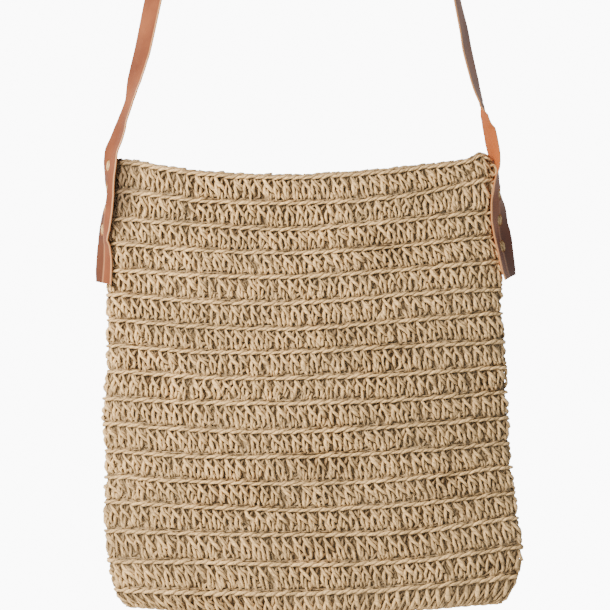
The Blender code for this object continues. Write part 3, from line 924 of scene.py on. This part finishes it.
def squeezed_distance(node, place, middle, squeeze):
    """How far a place is from the middle of an oval, with each direction squeezed."""
    offset = node(VECTOR_MATH, [place, middle], "SUBTRACT")
    squeezed = node(VECTOR_MATH, [offset, squeeze], "MULTIPLY")
    return node(VECTOR_MATH, [squeezed], "LENGTH").outputs["Value"]


def brown_stretches(node, place, most):
    """How much browner a place is than the plain straw, at most as told."""
    soaked = node(NOISE, {"Vector": place, "Scale": BROWN_SCALE, "Detail": 3.0, "Roughness": 0.6})
    return node(MAP_RANGE, [soaked, 0.5, 0.66, 0.0, most])


def jute_yarn():
    """Two-ply jute yarn: matt, with two twisted plies, their grooves painted with shade, and fine loose
    fibres.
    """
    made, node, place = new_material("twisted_jute_yarn")
    run = node("ShaderNodeAttribute", attribute_name="yarn_run").outputs["Vector"]
    tone, height, clear_of_shadow = (
        node("ShaderNodeAttribute", attribute_name=name).outputs["Fac"]
        for name in ("strand_tone", "strand_height", "fresh_yarn")
    )
    # Two plies, with a groove on each side where they meet
    split = node("ShaderNodeSeparateXYZ", [run])
    angle = node(MATH, [split.outputs[1], split], "ARCTAN2")
    twist = node(MATH, [split.outputs[2], PLY_TURN], "MULTIPLY")
    phase = node(MATH, [angle, twist], "ADD")
    wave = node(MATH, [phase], "SINE")
    ply = node(MATH, [wave], "ABSOLUTE")
    # Single fibres, a fifth of a millimetre thick, that turn with the plies
    untwist = node(MATH, [twist, -1.0], "MULTIPLY")
    turned = node("ShaderNodeVectorRotate", {"Vector": run, "Angle": untwist}, rotation_type="Z_AXIS")
    drawn_out = node(VECTOR_MATH, [turned, (1.0, 1.0, 0.08)], "MULTIPLY")
    # Clumps of fibres some 1.5 mm long, and paler and darker patches some 35 mm long
    fibres, clumps, patches = (
        node(NOISE, {"Vector": at, "Scale": scale, "Detail": detail, "Roughness": rough})
        for at, scale, detail, rough in (
            (drawn_out, 3200.0, 2.0, 0.6), (place, 650.0, 3.0, 0.65), (place, 28.0, 2.0, 0.55)
        )
    )
    # The front is darker in a tall oval at the right. At the left rim a shadow of the strap is painted
    # on the yarn, over some 20 mm
    darker_oval, strap_shadow_oval = (
        node(MAP_RANGE, [away, near, far, there, beyond])
        for away, near, far, there, beyond in (
            (squeezed_distance(node, place, DARKER_OVAL_PLACE, (1.0, 1.0, 0.4)), 0.02, 0.09, 0.86, 1.0),
            (squeezed_distance(node, place, STRAP_SHADOW_PLACE, (1.0, 0.0, 0.5)), 0.01, 0.027, 0.82, 0.0),
        )
    )
    # Only the bag's own yarn takes the painted shadow of the strap
    can_take_shadow = node(MATH, [1.0, clear_of_shadow], "SUBTRACT")
    painted_strap_shadow = node(MATH, [strap_shadow_oval, can_take_shadow], "MULTIPLY")
    # Painted shade and light: the straw is darker deep between the strands and lighter on their raised
    # tops. It is also browner in some stretches
    browner = brown_stretches(node, place, 1.0)
    deep = node(MIX, [browner, linear("8A7454"), linear("664828")])
    raised = node(MAP_RANGE, [height, -0.0004, 0.0024])
    shade = node(MIX, [raised, deep, linear("F4CA88")])
    toned = node(MIX, [0.15, shade, linear("C4A474")])
    # Strand, fibre, patch, ply and clump each have a share in how light the yarn is. The ply's share is
    # painted shade in the grooves between the plies
    shares = [
        node(MAP_RANGE, [value, low, high, darkest, lightest])
        for value, low, high, darkest, lightest in (
            (tone, 0.0, 1.0, 0.82, 1.1), (fibres, 0.32, 0.68, 0.62, 1.3),
            (patches, 0.35, 0.65, 0.86, 1.06), (ply, 0.0, 0.5, 0.64, 1.0),
            (clumps, 0.35, 0.65, 0.78, 1.24),
        )
    ]
    level = shares[0]
    for share in (*shares[1:], darker_oval):
        level = node(MATH, [level, share], "MULTIPLY")
    colour = node(VECTOR_MATH, {0: toned, "Scale": level}, "SCALE")
    # Painted shadow of the strap, darkening the yarn at the left rim beside it
    with_strap_shadow = node(MIX, [painted_strap_shadow, colour, linear("3A2417")])
    relief = node(MATH, [fibres, 0.5, ply], "MULTIPLY_ADD")
    looks = {"Base Color": with_strap_shadow, "Roughness": 0.7, "Specular IOR Level": 0.45}
    return finish_material(made, looks, relief, 0.7, 0.0005)


def jute_cloth():
    """The jute deep in the crochet, where yarn crosses yarn: painted darker, as shade, with the fibres'
    fine relief.
    """
    made, node, place = new_material("jute_between_stitches")
    leaning = node("ShaderNodeVectorRotate", {"Vector": place, "Angle": CLOTH_LEAN}, rotation_type="Y_AXIS")
    bands = {"Vector": leaning, "Scale": CLOTH_YARN_SCALE, "Distortion": 7.0}
    bands |= {"Detail": 3.0, "Detail Scale": 1.3, "Detail Roughness": 0.6}
    strands = node("ShaderNodeTexWave", bands, wave_type="BANDS", bands_direction="X").outputs["Fac"]
    shown = node(MAP_RANGE, [strands, 0.1, 0.9])
    # Painted shade: the cloth's straw is darker than that of the strands
    plain = node(MIX, [shown, linear("665238"), linear("A8906A")])
    # Browner in the same stretches as the strands
    browner = brown_stretches(node, place, 0.65)
    colour = node(MIX, [browner, plain, linear("3E2814")])
    looks = {"Base Color": colour, "Roughness": 0.92, "Specular IOR Level": 0.2}
    return finish_material(made, looks, strands, 0.8, 0.0008)


def smooth_leather():
    """Vegetable-tanned leather, grain side: smooth, waxed, pinkish tan with a soft sheen."""
    made, node, place = new_material("tan_leather_grain_side")
    mottle = node(NOISE, {"Vector": place, "Scale": 24.0, "Detail": 4.0, "Roughness": 0.55})
    uneven = node(MAP_RANGE, [mottle, 0.34, 0.66])
    cells = {"Vector": place, "Scale": 1400.0}
    grain = node("ShaderNodeTexVoronoi", cells, feature="DISTANCE_TO_EDGE")
    run = node("ShaderNodeAttribute", attribute_name="strap_run").outputs["Vector"]
    across = node("ShaderNodeSeparateXYZ", [run]).outputs[0]
    height = node("ShaderNodeSeparateXYZ", [place]).outputs[2]
    from_middle = node(MATH, [across, STRAP_WIDTH / 2], "SUBTRACT")
    off_fold = node(MATH, [from_middle], "ABSOLUTE")
    # Behind the fold each laced end is darker, as painted shade. The fold itself is painted paler, as a
    # highlight, and so is the rim beside the front cut edge
    behind, laced, on_fold, low_down, painted_rim_highlight = (
        node(MAP_RANGE, [value, low, high, first, last])
        for value, low, high, first, last in (
            (across, STRAP_WIDTH * 0.49, STRAP_WIDTH * 0.53, 0.0, 1.0),
            (height, SHADE_TOP, SHADE_TOP - 0.022, 0.0, 0.6), (off_fold, 0.0002, 0.0016, 1.0, 0.0),
            (height, FOLD_TOP, FOLD_TOP - 0.04, 0.0, 0.5), (across, 0.0003, 0.0015, 0.8, 0.0),
        )
    )
    painted_back_shade = node(MATH, [behind, laced], "MULTIPLY")
    painted_fold_highlight = node(MATH, [on_fold, low_down], "MULTIPLY")
    colour = node(MIX, [uneven, linear("602B10"), linear("884B26")])
    # Painted shade behind the fold, and painted highlights on the fold and the front rim
    for share, code in ((painted_back_shade, "38190C"), (painted_fold_highlight, "C08A60"), (painted_rim_highlight, "CA925C")):
        colour = node(MIX, [share, colour, linear(code)])
    return finish_material(made, {"Base Color": colour, "Roughness": 0.42}, grain, 0.2, 0.0004)


def flesh_leather():
    """The flesh side of the same leather: unfinished, brighter orange, with a short nap."""
    made, node, place = new_material("tan_leather_flesh_side")
    nap = node(NOISE, {"Vector": place, "Scale": 500.0, "Detail": 4.0, "Roughness": 0.65})
    colour = node(MIX, [nap, linear("8A3C0A"), linear("B05E18")])
    return finish_material(made, {"Base Color": colour, "Roughness": 0.75}, nap, 0.4, 0.0003)


def cut_leather():
    """The raw cut edge of the leather: pale, dry and a little rough."""
    made, node, place = new_material("tan_leather_cut_edge")
    dry = node(NOISE, {"Vector": place, "Scale": 700.0, "Detail": 2.0})
    colour = node(MIX, [dry, linear("9C6238"), linear("BC8854")])
    return finish_material(made, {"Base Color": colour, "Roughness": 0.8})


def pale_floor():
    """A plain pale studio floor."""
    made = new_material("pale_studio_floor")[0]
    return finish_material(made, {"Base Color": linear("EDEDED"), "Roughness": 0.9})


# Studio

def add_light(name, place, aim, size, power, colour):
    lamp = bpy.data.lights.new(name, "AREA")
    lamp.shape = "SQUARE"
    lamp.size, lamp.energy, lamp.color = size, power, colour
    obj = object_of(name, lamp)
    obj.location = place
    obj.rotation_euler = (Vector(aim) - Vector(place)).to_track_quat("-Z", "Y").to_euler()
    return obj


def make_studio():
    scene = bpy.context.scene
    optics = bpy.data.cameras.new("photo_camera")
    optics.sensor_width = SENSOR_WIDTH
    optics.lens = SENSOR_WIDTH * PHOTO_DISTANCE / PHOTO_WIDTH
    optics.clip_end = 100
    camera = object_of("photo_camera", optics)
    x, y, z = PHOTO_CENTRE
    camera.location = (x, y - PHOTO_DISTANCE, z)
    camera.rotation_euler = (math.pi / 2, 0, 0)
    scene.camera = camera

    bm = bmesh.new()
    bmesh.ops.create_circle(bm, cap_ends=True, segments=FLOOR_SIDES, radius=FLOOR_RADIUS)
    mesh = drawn_mesh("studio_floor", bm)
    mesh.transform(Matrix.Translation((0, 0, FLOOR_HEIGHT)))
    floor = object_of("studio_floor", mesh, pale_floor())

    world = bpy.data.worlds.new("pale_studio")
    world.use_nodes = True
    world.node_tree.nodes.clear()
    node = partial(add, world.node_tree)
    # The backdrop is seen and mirrored brighter than the soft light that it gives, as lit paper is
    light, mirrored, paper = (
        node("ShaderNodeBackground", {"Color": linear(code), "Strength": strength})
        for code, strength in (("DCE8FF", 0.6), ("FFFAF4", 0.8), ("FCFCFC", 10.5))
    )
    seen = node("ShaderNodeLightPath").outputs
    soft = node("ShaderNodeMixShader", [seen["Is Glossy Ray"], light, mirrored])
    both = node("ShaderNodeMixShader", [seen["Is Camera Ray"], soft, paper])
    node("ShaderNodeOutputWorld", {"Surface": both})
    scene.world = world

    add_light("window_left", (-0.88, -0.83, -0.02), (-0.1, 0, -0.7), 0.8, 51, (1.0, 0.92, 0.815))
    # Fills the back softly, unseen in the leather's sheen
    behind = add_light("soft_behind", (-0.6, 1.5, 0.2), (0.0, 0, -0.7), 1.2, 14, (1.0, 0.97, 0.92))
    behind.visible_glossy = False


# Making

def main():
    yarn = jute_yarn()
    lie = make_lie()
    yarn_tree = make_yarn_tree()
    tree = make_stitch_tree(yarn_tree)
    strands = []
    for group, rounds, first_round in STRAND_GROUPS:
        strands += [work_strands(tree, lie, yarn, strand, rounds, first_round) for strand in group]
    bpy.data.objects.remove(lie)
    cloth = make_cloth(jute_cloth())
    sections = strap_sections()
    make_strap(sections, [smooth_leather(), flesh_leather(), cut_leather()])
    make_lacing(make_lacing_tree(yarn_tree), yarn, sections)
    make_studio()


main()
